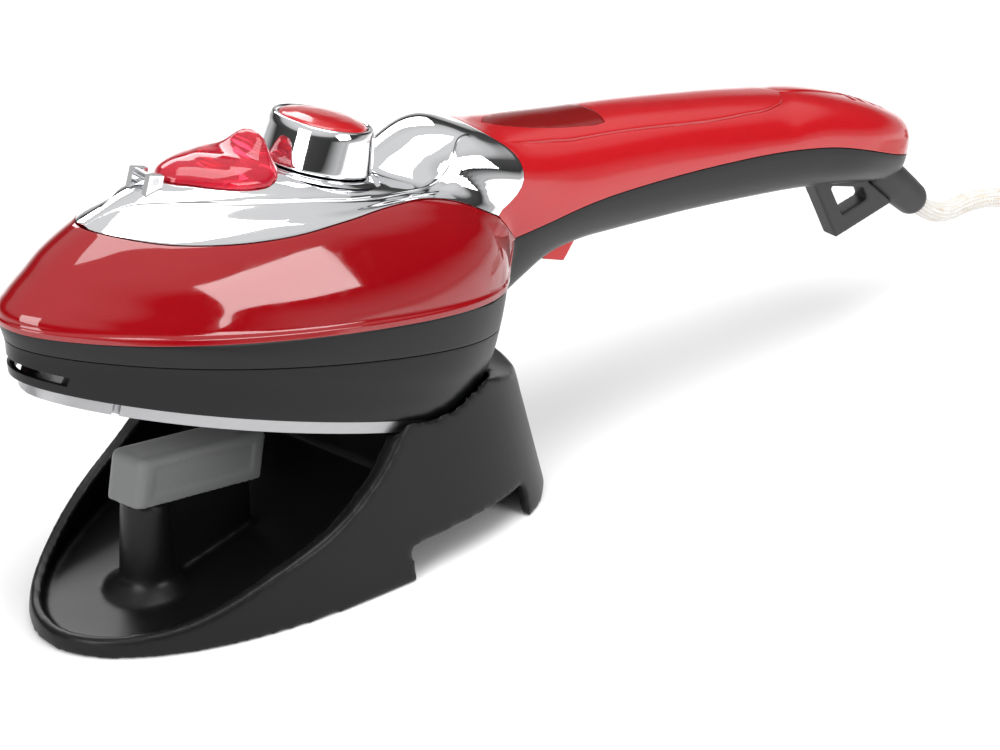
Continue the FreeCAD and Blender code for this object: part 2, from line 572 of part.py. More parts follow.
def tube(route, radius):
    """A tube along straight runs joined by arcs as large as the runs allow."""
    edges = []
    start = route[0]
    for before, corner, after in zip(route, route[1:], route[2:]):
        back = before - corner
        ahead = after - corner
        turn = math.pi - back.getAngle(ahead)
        setback = 0.45 * min(back.Length, ahead.Length)
        bend = setback / math.tan(turn / 2)
        print("cord bend radius", round(bend, 1))
        first = corner + back.normalize() * setback
        last = corner + ahead.normalize() * setback
        bisector = (first + last) * 0.5 - corner
        centre = corner + bisector.normalize() * (bend / math.cos(turn / 2))
        middle = centre + (corner - centre).normalize() * bend
        edges += [Part.LineSegment(start, first).toShape(), Part.Arc(first, middle, last).toShape()]
        start = last
    edges.append(Part.LineSegment(start, route[-1]).toShape())
    path = Part.Wire(edges)
    section = Part.Wire(Part.Circle(route[0], route[1] - route[0], radius).toShape())
    pipe = path.makePipeShell([section], True, True)
    expected = math.pi * radius ** 2 * path.Length
    print("tube length", round(path.Length, 1), "volume share", round(pipe.Volume / expected, 4))
    return pipe


COIL_CENTRE = V(389.8, -60, COIL_TUBE)
coil_body = Part.makeTorus(COIL, COIL_TUBE, COIL_CENTRE)
cord_tube = tube(ROUTE, CORD)
cord_tube = max(cord_tube.cut(coil_body).Solids, key=lambda solid: solid.Volume)
feature("cord", cord_tube, WORLD)
feature("cord_coil", coil_body, WORLD)
PLUG = size("plug_radius")
PLUG_START = V(424, -8, PLUG)
TAIL_ROUTE = [V(425.8, -52, 9.0), V(425.6, -40, 9.6), V(425.2, -28, 12.6), V(424.4, -18, 16.6), PLUG_START]
tail_tube = tube(TAIL_ROUTE, CORD)
tail_tube = max(tail_tube.cut(coil_body).Solids, key=lambda solid: solid.Volume)
relief = Part.makeCone(CORD + 1.2, CORD + 3.0, 14, PLUG_START, ACROSS)
plug_back = Part.makeCone(11, PLUG, 10, PLUG_START + V(0, 14, 0), ACROSS)
plug_front = Part.makeCylinder(PLUG, 16, PLUG_START + V(0, 24, 0), ACROSS)
plug = relief.fuse(plug_back).fuse(plug_front)
feature("cord_end", tail_tube.cut(plug), WORLD)
PRONG = size("prong_radius")
prongs = []
for side in (-9.5, 9.5):
    base = PLUG_START + V(side, 32, 0)
    prong = Part.makeCylinder(PRONG, 27, base, ACROSS)
    prongs.append(prong)
plug = plug.cut(Part.makeCompound(prongs))
feature("plug_body", plug, WORLD)
for number, prong in enumerate(prongs, start=1):
    feature("plug_prong_%d" % number, prong, WORLD)

# ---------------------------------------------------------------- checks and files
doc.recompute()
for item in doc.Objects:
    if "Invalid" in item.State or "Error" in item.State:
        raise RuntimeError("failed object: " + item.Label)
for piece in nodes:
    shape = piece.Shape
    if shape.isNull() or not shape.isValid() or shape.Volume <= 0:
        raise RuntimeError("bad shape: " + piece.Label)
    print(piece.Label, len(shape.Solids), round(shape.Volume))
for piece in nodes:
    piece.Shape.exportStep("parts/" + piece.Label + ".step")
print(len(nodes), "sub-parts")
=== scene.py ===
import bpy
import json
import math
import numpy as np
from mathutils import Matrix, Vector

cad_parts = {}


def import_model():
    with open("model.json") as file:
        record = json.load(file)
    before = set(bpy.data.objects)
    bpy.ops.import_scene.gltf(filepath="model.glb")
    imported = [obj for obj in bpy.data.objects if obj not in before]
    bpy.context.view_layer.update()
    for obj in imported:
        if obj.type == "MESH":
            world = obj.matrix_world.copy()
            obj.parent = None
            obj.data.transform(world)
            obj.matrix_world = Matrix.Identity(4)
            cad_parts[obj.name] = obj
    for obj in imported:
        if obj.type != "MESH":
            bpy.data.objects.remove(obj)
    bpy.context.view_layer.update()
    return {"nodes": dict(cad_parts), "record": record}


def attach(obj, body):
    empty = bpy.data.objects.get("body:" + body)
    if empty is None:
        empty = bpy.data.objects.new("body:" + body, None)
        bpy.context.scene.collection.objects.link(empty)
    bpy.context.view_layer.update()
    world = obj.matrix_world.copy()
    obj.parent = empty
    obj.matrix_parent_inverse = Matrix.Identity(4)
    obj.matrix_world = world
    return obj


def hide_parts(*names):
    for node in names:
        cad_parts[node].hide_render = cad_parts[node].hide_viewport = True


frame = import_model()
nodes = frame["nodes"]
MM = 0.001

# ---------------------------------------------------------------- where the iron and the stand are
CENTRE_X, CENTRE_Y = -93.7, -5.6
PITCH = math.radians(17.2)
IRON_X, IRON_Z = -85.3, 73.9
UP = np.array([math.sin(PITCH), 0.0, math.cos(PITCH)])
ALONG = np.array([math.cos(PITCH), 0.0, -math.sin(PITCH)])
START = np.array([IRON_X + CENTRE_X, CENTRE_Y, IRON_Z])


def placed(points):
    """Iron points, in millimetres, put where the iron rests, in metres."""
    points = np.asarray(points, float)
    across = np.array([0.0, 1.0, 0.0])
    return (START + points[..., :1] * ALONG + points[..., 1:2] * across + points[..., 2:3] * UP) * MM


# ---------------------------------------------------------------- the iron's skin
class Line:
    """A smooth line through knots, read anywhere along it."""

    def __init__(self, knots):
        self.at, self.value = np.array(knots, float).T
        self.slope = np.gradient(self.value, self.at)

    def __call__(self, where):
        where = np.clip(where, self.at[0], self.at[-1])
        step = np.clip(np.searchsorted(self.at, where) - 1, 0, len(self.at) - 2)
        span = self.at[step + 1] - self.at[step]
        t = (where - self.at[step]) / span
        low, high = self.value[step], self.value[step + 1]
        rise, fall = self.slope[step] * span, self.slope[step + 1] * span
        return (low * (2 * t ** 3 - 3 * t ** 2 + 1) + rise * (t ** 3 - 2 * t ** 2 + t)
                + high * (3 * t ** 2 - 2 * t ** 3) + fall * (t ** 3 - t ** 2))


def ease(t):
    t = np.clip(t, 0, 1)
    return t * t * (3 - 2 * t)


BODY_HALF = 40.2
FULLNESS = (0.493, 0.114, 0.062, 0.084)
WIDEST = 0.5105
# level, front end, rear end, share of the half width
LEVELS = [(0.0, 7.0, 154.0, 0.945), (6.0, 4.6, 156.0, 0.985), (13.0, 2.0, 158.4, 1.0),
          (18.0, -1.2, 160.0, 1.012), (22.0, -2.7, 160.6, 1.01), (26.0, -0.6, 160.8, 1.0),
          (31.0, 2.9, 161.0, 0.98), (37.4, 7.4, 161.0, 0.945), (42.4, 12.4, 160.8, 0.905),
          (47.2, 18.0, 160.0, 0.855), (51.5, 24.0, 158.0, 0.80), (55.5, 30.0, 155.0, 0.735),
          (59.0, 37.0, 150.0, 0.655), (62.2, 47.0, 143.0, 0.55), (64.2, 58.0, 132.0, 0.42),
          (64.8, 67.0, 124.0, 0.31), (65.1, 80.0, 112.0, 0.15)]
FRONT = Line([(z, a) for z, a, b, c in LEVELS])
REAR = Line([(z, b) for z, a, b, c in LEVELS])
SHARE = Line([(z, c) for z, a, b, c in LEVELS])
BODY_TOP = 65.1

# bottom point, top point, half width
STATIONS = [((158.0, 14.0), (108.0, 48.0), 14.0), ((165.0, 24.0), (108.0, 62.0), 16.1),
            ((173.5, 34.0), (118.0, 73.0), 18.5), ((180.5, 41.5), (131.0, 79.5), 20.3),
            ((191.0, 46.5), (150.0, 79.0), 20.5), ((204.0, 49.4), (178.0, 82.3), 19.3),
            ((220.0, 52.6), (207.0, 86.4), 18.2), ((236.0, 55.8), (231.0, 89.2), 17.5),
            ((257.0, 59.6), (256.0, 91.6), 17.2), ((279.0, 63.2), (280.0, 92.8), 17.2),
            ((302.0, 65.6), (305.0, 91.4), 16.8), ((320.0, 66.4), (321.0, 88.8), 13.4),
            ((330.0, 67.8), (328.5, 86.0), 7.6), ((333.8, 71.5), (332.2, 80.5), 3.0)]
LOW_X, LOW_Z, HIGH_X, HIGH_Z, GRIP = [
    Line([(n, pick(station)) for n, station in enumerate(STATIONS)])
    for pick in (lambda s: s[0][0], lambda s: s[0][1], lambda s: s[1][0], lambda s: s[1][1], lambda s: s[2])]
ROUNDNESS = 2.5
GRIP_FRONT = 104
CORE = Line([(-3, 22), (20, 40), (60, 47), (100, 50), (150, 52), (165, 56), (180, 62), (200, 67), (240, 73),
             (280, 78), (320, 77.6), (334, 76)])


def body_half(x, z):
    """The body's half width at a place in its side view; below zero outside it."""
    front, rear = FRONT(z), REAR(z)
    along = np.clip(2 * (x - front) / (rear - front) - 1, -1, 1)
    full = sum(part * along ** power for power, part in enumerate(FULLNESS))
    half = np.sqrt(1 - along ** 2) * full * SHARE(z) * BODY_HALF / WIDEST
    return np.where((z > BODY_TOP) | (z < 0), -1.0, half)


def grip_fields():
    """For a mesh of side-view places: how far along the handle, and how far across it."""
    x, z = np.meshgrid(np.arange(100, 337.0), np.arange(6, 98.0), indexing="ij")
    low, high = np.zeros_like(x), np.full_like(x, len(STATIONS) - 1.0)
    for _ in range(26):
        s = (low + high) / 2
        ahead = (HIGH_X(s) - LOW_X(s)) * (z - LOW_Z(s)) - (HIGH_Z(s) - LOW_Z(s)) * (x - LOW_X(s)) < 0
        low, high = np.where(ahead, s, low), np.where(ahead, high, s)
    ax, az = HIGH_X(s) - LOW_X(s), HIGH_Z(s) - LOW_Z(s)
    q = 2 * ((x - LOW_X(s)) * ax + (z - LOW_Z(s)) * az) / (ax ** 2 + az ** 2) - 1
    off = np.abs(ax * (z - LOW_Z(s)) - az * (x - LOW_X(s))) / np.hypot(ax, az)
    return GRIP(s), np.where(off > 0.6, 2.0, np.abs(q))


GRIP_HALF, GRIP_ACROSS = grip_fields()


def table(field, x, z):
    gx, gz = np.clip(x - 100, 0, field.shape[0] - 1.001), np.clip(z - 6, 0, field.shape[1] - 1.001)
    i, k = gx.astype(int), gz.astype(int)
    fx, fz = gx - i, gz - k
    return ((field[i, k] * (1 - fx) + field[i + 1, k] * fx) * (1 - fz)
            + (field[i, k + 1] * (1 - fx) + field[i + 1, k + 1] * fx) * fz)


def in_grip(x, y, z):
    upright_share, side_share = table(GRIP_ACROSS, x, z), np.abs(y / table(GRIP_HALF, x, z))
    return (x > GRIP_FRONT) & (upright_share ** ROUNDNESS + side_share ** ROUNDNESS < 1)


def in_body(x, y, z):
    return np.abs(y) < body_half(x, z)


def reach(inside, x, turn):
    """How far a ray from the core line goes before it leaves the form for the last time."""
    cos, sin, core = np.cos(turn), np.sin(turn), CORE(x)
    low = np.zeros_like(turn)
    for far in np.linspace(1, 62, 42):
        low = np.where(inside(x, far * cos, core + far * sin), far, low)
    high = low + 62 / 41
    for _ in range(12):
        mid = (low + high) / 2
        held = inside(x, mid * cos, core + mid * sin)
        low, high = np.where(held, mid, low), np.where(held, high, mid)
    return low


BLEND = 7.0


def skin(x, turn):
    """The iron's outer radius round its core line: body and handle, run into each other."""
    x, turn = np.broadcast_arrays(np.asarray(x, float), np.asarray(turn, float))
    body, grip = reach(in_body, x, turn), reach(in_grip, x, turn)
    near = np.clip(1 - np.abs(body - grip) / BLEND, 0, 1) * (grip > 2) * (body > 2)
    return np.maximum(body, grip) + BLEND / 4 * near ** 2 * ease((x - 100) / 14)


def height(x, turn):
    return CORE(x) + skin(x, turn) * np.sin(turn)


def turn_at_height(x, z):
    """The angle at which the skin is at a height."""
    x, z = np.broadcast_arrays(np.asarray(x, float), np.asarray(z, float))
    low, high = np.full(x.shape, -math.pi / 2), np.full(x.shape, math.pi / 2)
    for _ in range(15):
        mid = (low + high) / 2
        under = height(x, mid) < z
        low, high = np.where(under, mid, low), np.where(under, high, mid)
    return (low + high) / 2


def turn_at_width(x, half):
    """The angle, on the upper side, at which the skin is a given distance from the middle plane."""
    x, half = np.broadcast_arrays(np.asarray(x, float), np.asarray(half, float))
    low, high = np.full(x.shape, 0.1), np.full(x.shape, math.pi / 2)
    for _ in range(15):
        mid = (low + high) / 2
        wide = skin(x, mid) * np.cos(mid) > half
        low, high = np.where(wide, mid, low), np.where(wide, high, mid)
    return (low + high) / 2


def side_half(x, z):
    """The skin's half width at a place in the side view."""
    x, z = np.broadcast_arrays(np.asarray(x, float), np.asarray(z, float))
    turn = turn_at_height(x, z)
    blended = skin(x, turn) * np.cos(turn)
    plain = np.maximum(body_half(x, z), 0)
    return np.where(x < 100, plain, blended)


# ---------------------------------------------------------------- seams, in the side view
def straight(a, b):
    return lambda x: a[1] + (b[1] - a[1]) * (x - a[0]) / (b[0] - a[0])


SKIRT_SEAM = straight((-20.0, 11.4), (230.0, 34.6))
TANK_SEAM = straight((-20.0, 15.6), (230.0, 49.2))
DECK_SEAM = Line([(8.0, 45.6), (18.0, 46.2), (32.0, 46.8), (50.0, 49.2), (66.0, 52.4), (84.0, 57.0),
                  (102.0, 61.0), (116.0, 62.4), (130.0, 61.4), (146.0, 57.4)])
ARC = Line([(57.4, 146.0), (63.0, 151.0), (70.0, 153.0), (75.8, 149.5), (79.6, 142.0), (86.0, 139.0)])
TANK_END = Line([(128.0, 35.5), (140.0, 36.6), (150.0, 39.5), (154.5, 44.5), (156.0, 50.4)])
TANK_CORNER = straight((146.0, 57.4), (156.0, 50.4))
HANDLE_SEAM = Line([(156.0, 50.4), (165.0, 54.6), (176.0, 59.4), (188.0, 63.2), (200.0, 66.2), (215.0, 69.6),
                    (239.0, 74.4), (256.0, 77.4), (272.0, 79.4), (286.0, 80.2), (300.0, 79.6), (316.0, 78.0),
                    (340.0, 76.4)])
SLIT = 0.16
TAIL = 330.2


# ---------------------------------------------------------------- meshes
def nothing_selected():
    if bpy.context.object and bpy.context.object.mode != "OBJECT":
        bpy.ops.object.mode_set(mode="OBJECT")
    bpy.ops.object.select_all(action="DESELECT")


def only(piece):
    nothing_selected()
    piece.select_set(True)
    bpy.context.view_layer.objects.active = piece


def sheet(name, points):
    """A grid primitive laid over rows of points, in metres."""
    rows, columns = points.shape[:2]
    nothing_selected()
    bpy.ops.mesh.primitive_grid_add(x_subdivisions=columns - 1, y_subdivisions=rows - 1, size=1)
    piece = bpy.context.object
    piece.name = piece.data.name = name
    piece.data.vertices.foreach_set("co", points.reshape(-1))
    piece.data.update()
    return piece


def joined(first, *others):
    nothing_selected()
    for piece in (first, *others):
        piece.select_set(True)
    bpy.context.view_layer.objects.active = first
    bpy.ops.object.join()
    return first


def closed_up(piece, inside=None, merge=0.02):
    """Merges doubles, turns all faces outwards, and checks them against a point inside."""
    only(piece)
    bpy.ops.object.mode_set(mode="EDIT")
    bpy.ops.mesh.select_all(action="SELECT")
    bpy.ops.mesh.remove_doubles(threshold=merge * MM)
    bpy.ops.mesh.dissolve_degenerate(threshold=1e-6)
    bpy.ops.mesh.normals_make_consistent(inside=False)
    bpy.ops.object.mode_set(mode="OBJECT")
    if inside is not None:
        middle = Vector(inside)
        outward = sum((face.center - middle).dot(face.normal) * face.area for face in piece.data.polygons)
        if outward < 0:
            bpy.ops.object.mode_set(mode="EDIT")
            bpy.ops.mesh.select_all(action="SELECT")
            bpy.ops.mesh.flip_normals()
            bpy.ops.object.mode_set(mode="OBJECT")
    return piece


def apply_all(piece):
    only(piece)
    for modifier in list(piece.modifiers):
        bpy.ops.object.modifier_apply(modifier=modifier.name)


def thickened(piece, wall):
    solid = piece.modifiers.new("wall", "SOLIDIFY")
    solid.thickness, solid.offset = wall * MM, -1
    apply_all(piece)


def rounded(piece, width, segments=2, angle=35):
    edge = piece.modifiers.new("edges", "BEVEL")
    edge.width, edge.segments, edge.limit_method = width * MM, segments, "ANGLE"
    edge.angle_limit = math.radians(angle)
    edge.use_clamp_overlap = True
    apply_all(piece)


def smoothed(piece, angle=32):
    only(piece)
    bpy.ops.object.shade_smooth_by_angle(angle=math.radians(angle))
    return piece


def cut_away(piece, *cutters, keep="DIFFERENCE"):
    for cutter in cutters:
        cut = piece.modifiers.new("cut", "BOOLEAN")
        cut.operation, cut.object, cut.solver = keep, cutter, "EXACT"
        cut.use_self = True
        apply_all(piece)


def gone(*pieces):
    for piece in pieces:
        bpy.data.objects.remove(piece)


def add(piece, finish, body, slot, *stands_for):
    """Gives a finished piece its material and its body, and hides the nodes that it stands for."""
    piece.data.materials.clear()
    piece.data.materials.append(finish)
    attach(piece, body)
    if stands_for:
        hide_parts(*stands_for)
    return piece


def turned(name, profile, place, steps=72, sharp=30):
    """A turned piece: a profile of radius and height, swept round the z axis of its place."""
    around = np.linspace(0, 2 * math.pi, steps + 1)
    radius, rise = np.array(profile, float).T
    points = np.stack([radius[:, None] * np.cos(around), radius[:, None] * np.sin(around),
                       rise[:, None] + 0 * around], axis=-1)
    piece = sheet(name, place(points))
    closed_up(piece, merge=0.004)
    return smoothed(piece, sharp)


def corner_rounded(profile, radius, steps=4):
    """A profile with each inner corner rounded."""
    out = [profile[0]]
    for before, corner, after in zip(profile, profile[1:], profile[2:]):
        before, corner, after = (np.array(p, float) for p in (before, corner, after))
        back, ahead = before - corner, after - corner
        r = min(radius, 0.45 * np.linalg.norm(back), 0.45 * np.linalg.norm(ahead))
        first = corner + back / np.linalg.norm(back) * r
        last = corner + ahead / np.linalg.norm(ahead) * r
        for n in range(steps + 1):
            t = n / steps
            out.append(tuple(first * (1 - t) ** 2 + corner * 2 * t * (1 - t) + last * t ** 2))
    out.append(profile[-1])
    return out


def softened(name, node, voxel, passes, factor=0.5):
    """A moulded version of a CAD node: its own form with rounded edges."""
    nothing_selected()
    piece = nodes[node].copy()
    piece.data = nodes[node].data.copy()
    for key in list(piece.keys()):
        del piece[key]
    piece.parent = None
    piece.matrix_world = Matrix.Identity(4)
    piece.name = piece.data.name = name
    bpy.context.scene.collection.objects.link(piece)
    closed_up(piece, merge=0.002)
    mesh = piece.modifiers.new("voxels", "REMESH")
    mesh.mode, mesh.voxel_size = "VOXEL", voxel * MM
    relax = piece.modifiers.new("relax", "SMOOTH")
    relax.factor, relax.iterations = factor, passes
    apply_all(piece)
    return smoothed(piece, 60)


# ---------------------------------------------------------------- finishes
class Wire:
    """A node's output that takes part in sums."""

    def __init__(self, finish, socket):
        self.finish, self.socket = finish, socket

    def sum(self, operation, *others, swap=False):
        values = [self, *others]
        if swap:
            values.reverse()
        return self.finish.node("ShaderNodeMath", {"operation": operation}, *values)

    def __add__(self, other):
        return self.sum("ADD", other)

    def __mul__(self, other):
        return self.sum("MULTIPLY", other)

    def __sub__(self, other):
        return self.sum("SUBTRACT", other)

    def __rsub__(self, other):
        return self.sum("SUBTRACT", other, swap=True)

    def __truediv__(self, other):
        return self.sum("DIVIDE", other)

    def __pow__(self, other):
        return self.sum("POWER", other)

    __radd__, __rmul__ = __add__, __mul__

    def held(self):
        return self.sum("MAXIMUM", 0.0).sum("MINIMUM", 1.0)

    def sine(self):
        return self.sum("SINE")


class Finish:
    """A material: constants on the shader's own sockets, and patterns from nodes."""

    def __init__(self, name, **constants):
        self.material = bpy.data.materials.new(name)
        self.material.use_nodes = True
        self.tree = self.material.node_tree
        self.shader = self.tree.nodes["Principled BSDF"]
        for socket, value in constants.items():
            self.shader.inputs[socket.replace("_", " ")].default_value = value

    def node(self, kind, settings, *inputs, out=0, **named):
        made = self.tree.nodes.new(kind)
        for key, value in settings.items():
            if key == "stops":
                for n, (position, colour) in enumerate(value):
                    stop = made.color_ramp.elements[n] if n < 2 else made.color_ramp.elements.new(position)
                    stop.position, stop.color = position, (*colour, 1)
            else:
                setattr(made, key, value)
        pairs = list(enumerate(inputs)) + [(key.replace("_", " "), value) for key, value in named.items()]
        for key, value in pairs:
            if isinstance(value, Wire):
                self.tree.links.new(value.socket, made.inputs[key])
            else:
                made.inputs[key].default_value = value
        return Wire(self, made.outputs[out])

    def place(self, stretch=(1, 1, 1)):
        spot = self.node("ShaderNodeTexCoord", {}, out="Object")
        return self.node("ShaderNodeMapping", {}, Vector=spot, Scale=stretch)

    def noise(self, scale, detail=3.0, stretch=(1, 1, 1)):
        return self.node("ShaderNodeTexNoise", {}, Vector=self.place(stretch), Scale=scale, Detail=detail)

    def mixed(self, share, first, second):
        blend = self.tree.nodes.new("ShaderNodeMix")
        blend.data_type = "RGBA"
        for key, value in ((0, share), (6, first), (7, second)):
            if isinstance(value, Wire):
                self.tree.links.new(value.socket, blend.inputs[key])
            else:
                blend.inputs[key].default_value = value if key == 0 else (*value, 1)
        return Wire(self, blend.outputs[2])

    def set(self, socket, wire):
        self.tree.links.new(wire.socket, self.shader.inputs[socket])

    def bump(self, wire, strength, distance):
        relief = self.node("ShaderNodeBump", {}, Strength=strength, Distance=distance * MM, Height=wire)
        self.set("Normal", relief)


def moulded(name, dark, light, rough, grain=1400.0, depth=0.03, **constants):
    """Moulded plastic: a fine grain, slow changes of colour and polish."""
    finish = Finish(name, **constants)
    slow, fine = finish.noise(22.0), finish.noise(grain, 2.0)
    finish.set("Base Color", finish.mixed(slow, dark, light))
    finish.set("Roughness", slow * 0.10 + (fine * 0.05 + (rough - 0.07)))
    finish.bump(fine, 0.35, depth)
    return finish.material


def glossy(name, dark, light, rough, **constants):
    """Polished plastic: faint ripple from the mould and light handling marks."""
    finish = Finish(name, **constants)
    slow, ripple, marks = finish.noise(16.0), finish.noise(70.0, 1.0), finish.noise(260.0, 5.0)
    finish.set("Base Color", finish.mixed(slow, dark, light))
    finish.set("Roughness", (marks - 0.45).held() * 0.25 + rough)
    finish.bump(ripple + marks * 0.04, 0.12, 0.12)
    return finish.material


def plated(name, rough):
    """Chrome plating with faint smears and the ripple of the plastic below it."""
    finish = Finish(name, Metallic=1.0)
    smear, ripple = finish.noise(45.0, 4.0, (1, 2.4, 1)), finish.noise(38.0, 1.0)
    finish.set("Base Color", finish.mixed(smear, (0.80, 0.81, 0.83), (0.90, 0.90, 0.91)))
    finish.set("Roughness", (smear - 0.5).held() * 0.22 + rough)
    finish.bump(ripple, 0.10, 0.10)
    return finish.material


def brushed(name, colour, rough, stretch):
    """Metal with fine lines along one way."""
    finish = Finish(name, Metallic=1.0, Anisotropic=0.4)
    lines, cloud = finish.noise(900.0, 3.0, stretch), finish.noise(30.0)
    pale = tuple(min(1.0, c * 1.25) for c in colour)
    finish.set("Base Color", finish.mixed(lines * 0.7 + cloud * 0.3, colour, pale))
    finish.set("Roughness", lines * 0.18 + (rough - 0.09))
    finish.bump(lines, 0.25, 0.03)
    return finish.material


def braided(name):
    """A textile sleeve: crossing strands with gold flecks, on the cord's own lengths."""
    finish = Finish(name, Sheen_Weight=0.3, Sheen_Roughness=0.5)
    spot = finish.node("ShaderNodeUVMap", {"uv_map": "cord"})
    parts = finish.tree.nodes.new("ShaderNodeSeparateXYZ")
    finish.tree.links.new(spot.socket, parts.inputs[0])
    around, along = Wire(finish, parts.outputs[0]), Wire(finish, parts.outputs[1])
    turns = 6.2832
    left = (around * (8 * turns) + along * (turns / 0.0022)).sine()
    right = (around * (8 * turns) - along * (turns / 0.0022)).sine()
    weave = left * right
    patch = finish.node("ShaderNodeTexNoise", {}, Vector=spot, Scale=140.0, Detail=1.0)
    fleck = ((patch - 0.56) * 14.0).held() * (weave * 0.5 + 0.6).held()
    cloth = finish.mixed((weave * 0.5 + 0.5).held(), (0.62, 0.60, 0.57), (0.90, 0.89, 0.86))
    finish.set("Base Color", finish.mixed(fleck, cloth, (0.50, 0.31, 0.10)))
    finish.set("Roughness", weave * 0.1 + 0.62)
    finish.bump(weave, 0.8, 0.25)
    return finish.material


BLACK = moulded("satin_black", (0.003, 0.003, 0.0035), (0.006, 0.006, 0.007), 0.30, Specular_IOR_Level=0.26)
CHARCOAL = moulded("satin_charcoal", (0.005, 0.005, 0.006), (0.010, 0.010, 0.011), 0.33,
                   Specular_IOR_Level=0.30)
STAND_BLACK = moulded("stand_black", (0.002, 0.002, 0.002), (0.005, 0.005, 0.005), 0.36, depth=0.05,
                      Specular_IOR_Level=0.26)
RED = glossy("handle_red", (0.42, 0.005, 0.009), (0.48, 0.008, 0.012), 0.16, Coat_Weight=0.5,
             Coat_Roughness=0.06)
SATIN_RED = moulded("trigger_red", (0.55, 0.012, 0.014), (0.62, 0.020, 0.020), 0.34)
TANK_RED = glossy("tank_red", (0.30, 0.001, 0.004), (0.40, 0.002, 0.007), 0.05, Transmission_Weight=0.30,
                  IOR=1.49, Coat_Weight=0.6, Coat_Roughness=0.02)
LID_RED = glossy("lid_red", (0.85, 0.02, 0.06), (0.95, 0.06, 0.12), 0.03, Transmission_Weight=0.75, IOR=1.49)
WINDOW_RED = glossy("window_red", (0.22, 0.004, 0.004), (0.30, 0.008, 0.008), 0.08, Transmission_Weight=0.3,
                    IOR=1.49)
CHROME = plated("chrome", 0.035)
SOLE = brushed("brushed_sole", (0.36, 0.36, 0.37), 0.34, (0.05, 1, 1))
STEEL = brushed("drawn_steel", (0.55, 0.55, 0.56), 0.30, (1, 0.08, 1))
CAST = moulded("cast_metal", (0.42, 0.42, 0.42), (0.52, 0.52, 0.52), 0.55, 600.0, 0.15, Metallic=0.9)
NICKEL = brushed("nickel", (0.66, 0.65, 0.62), 0.22, (1, 0.1, 1))
SILICONE = moulded("silicone", (0.115, 0.118, 0.118), (0.15, 0.153, 0.152), 0.55, 900.0, 0.05,
                   Sheen_Weight=0.2)
WHITE = moulded("inner_white", (0.68, 0.68, 0.65), (0.78, 0.78, 0.75), 0.5)
RUBBER = moulded("rubber_black", (0.012, 0.012, 0.013), (0.022, 0.022, 0.023), 0.48, 1000.0, 0.05)
BRAID = braided("braided_sleeve")

FINISHES = {"stand_plastic": STAND_BLACK, "pad_silicone": SILICONE, "sole_metal": SOLE,
            "skirt_plastic": BLACK, "tank_red": TANK_RED, "chrome_cover": CHROME, "handle_red": RED,
            "handle_dark": CHARCOAL, "lid_red": LID_RED, "window_red": WINDOW_RED, "dial_chrome": CHROME,
            "cap_red": RED, "trigger_red": SATIN_RED, "inner_metal": CAST, "inner_steel": STEEL,
            "inner_white": WHITE, "seal_rubber": RUBBER, "cord_fabric": BRAID, "plug_black": RUBBER,
            "pin_metal": NICKEL}
for part in frame["record"]["subparts"]:
    kept = nodes[part["node"]]
    kept.data.materials.clear()
    kept.data.materials.append(FINISHES[part["material_slot"]])

# ---------------------------------------------------------------- camera
CAMERA_TURN, CAMERA_RISE = math.radians(-40.489), math.radians(26.908)
CAMERA_FAR = 1.11409
AIM = Vector((0.0895 + CENTRE_X * MM, (CENTRE_Y + 0.5) * MM, 0.02131))
back = Vector((math.sin(CAMERA_TURN) * math.cos(CAMERA_RISE), -math.cos(CAMERA_TURN) * math.cos(CAMERA_RISE),
               math.sin(CAMERA_RISE)))
lens = bpy.data.cameras.new("camera")
camera = bpy.data.objects.new("camera", lens)
bpy.context.scene.collection.objects.link(camera)
camera.location = AIM + back * CAMERA_FAR
camera.rotation_mode = "QUATERNION"
camera.rotation_quaternion = (-back).to_track_quat("-Z", "Y")
lens.sensor_width, lens.lens = 36.0, 135.38
bpy.context.scene.camera = camera

# ---------------------------------------------------------------- cord, from the guard to the plug
CORD_RADIUS = 3.3
EXIT = np.array([170.96, -5.6, 26.75])


def world(x, y, z):
    return np.array([x + CENTRE_X, y + CENTRE_Y, z])


route = [EXIT + np.array(step) for step in [(0, 0, 0), (6.6, 0, -5.6), (15.2, 0, -8.6), (24.6, 0.6, -8.0),
                                            (35.0, -0.6, -8.4), (46.5, -2.6, -11.8)]]
route += [world(325, -7, 9.6), world(337, -14, 5.4), world(347, -25, 3.7), world(351.5, -38, 3.5)]
COIL = 36.0
COIL_MIDDLE = (389.8, -60.0)
# where each turn lies: out from the coil's ring, and height
TURNS = [(3.4, 3.4), (-3.4, 3.4), (-6.8, 9.2), (0.0, 9.2), (-3.4, 15.0), (3.4, 15.0), (6.8, 9.2), (10.2, 3.4)]
COIL_FROM, COIL_TO, FIRST_SHIFT, SHIFT_STEP, SHIFT = 167.0, 2526.0, 475.0, 322.0, 20.0
COIL_STEP = 18.0
SHRINK = 0.9877
angle = COIL_FROM
while angle < COIL_TO:
    out, rise = TURNS[0]
    for number in range(1, len(TURNS)):
        share = float(ease((angle - (FIRST_SHIFT + (number - 1) * SHIFT_STEP) + SHIFT) / (2 * SHIFT)))
        out += (TURNS[number][0] - TURNS[number - 1][0]) * share
        rise += (TURNS[number][1] - TURNS[number - 1][1]) * share
    radius = (COIL + out) / SHRINK
    route.append(world(COIL_MIDDLE[0] + radius * math.cos(math.radians(angle)),
                       COIL_MIDDLE[1] + radius * math.sin(math.radians(angle)), rise))
    angle += COIL_STEP
PLUG_START = world(424, -8, 18.5)
route += [world(434.6, -43, 4.4), world(432.0, -33, 7.6), world(427.6, -23, 13.6), world(424.6, -14, 17.6),
          PLUG_START]

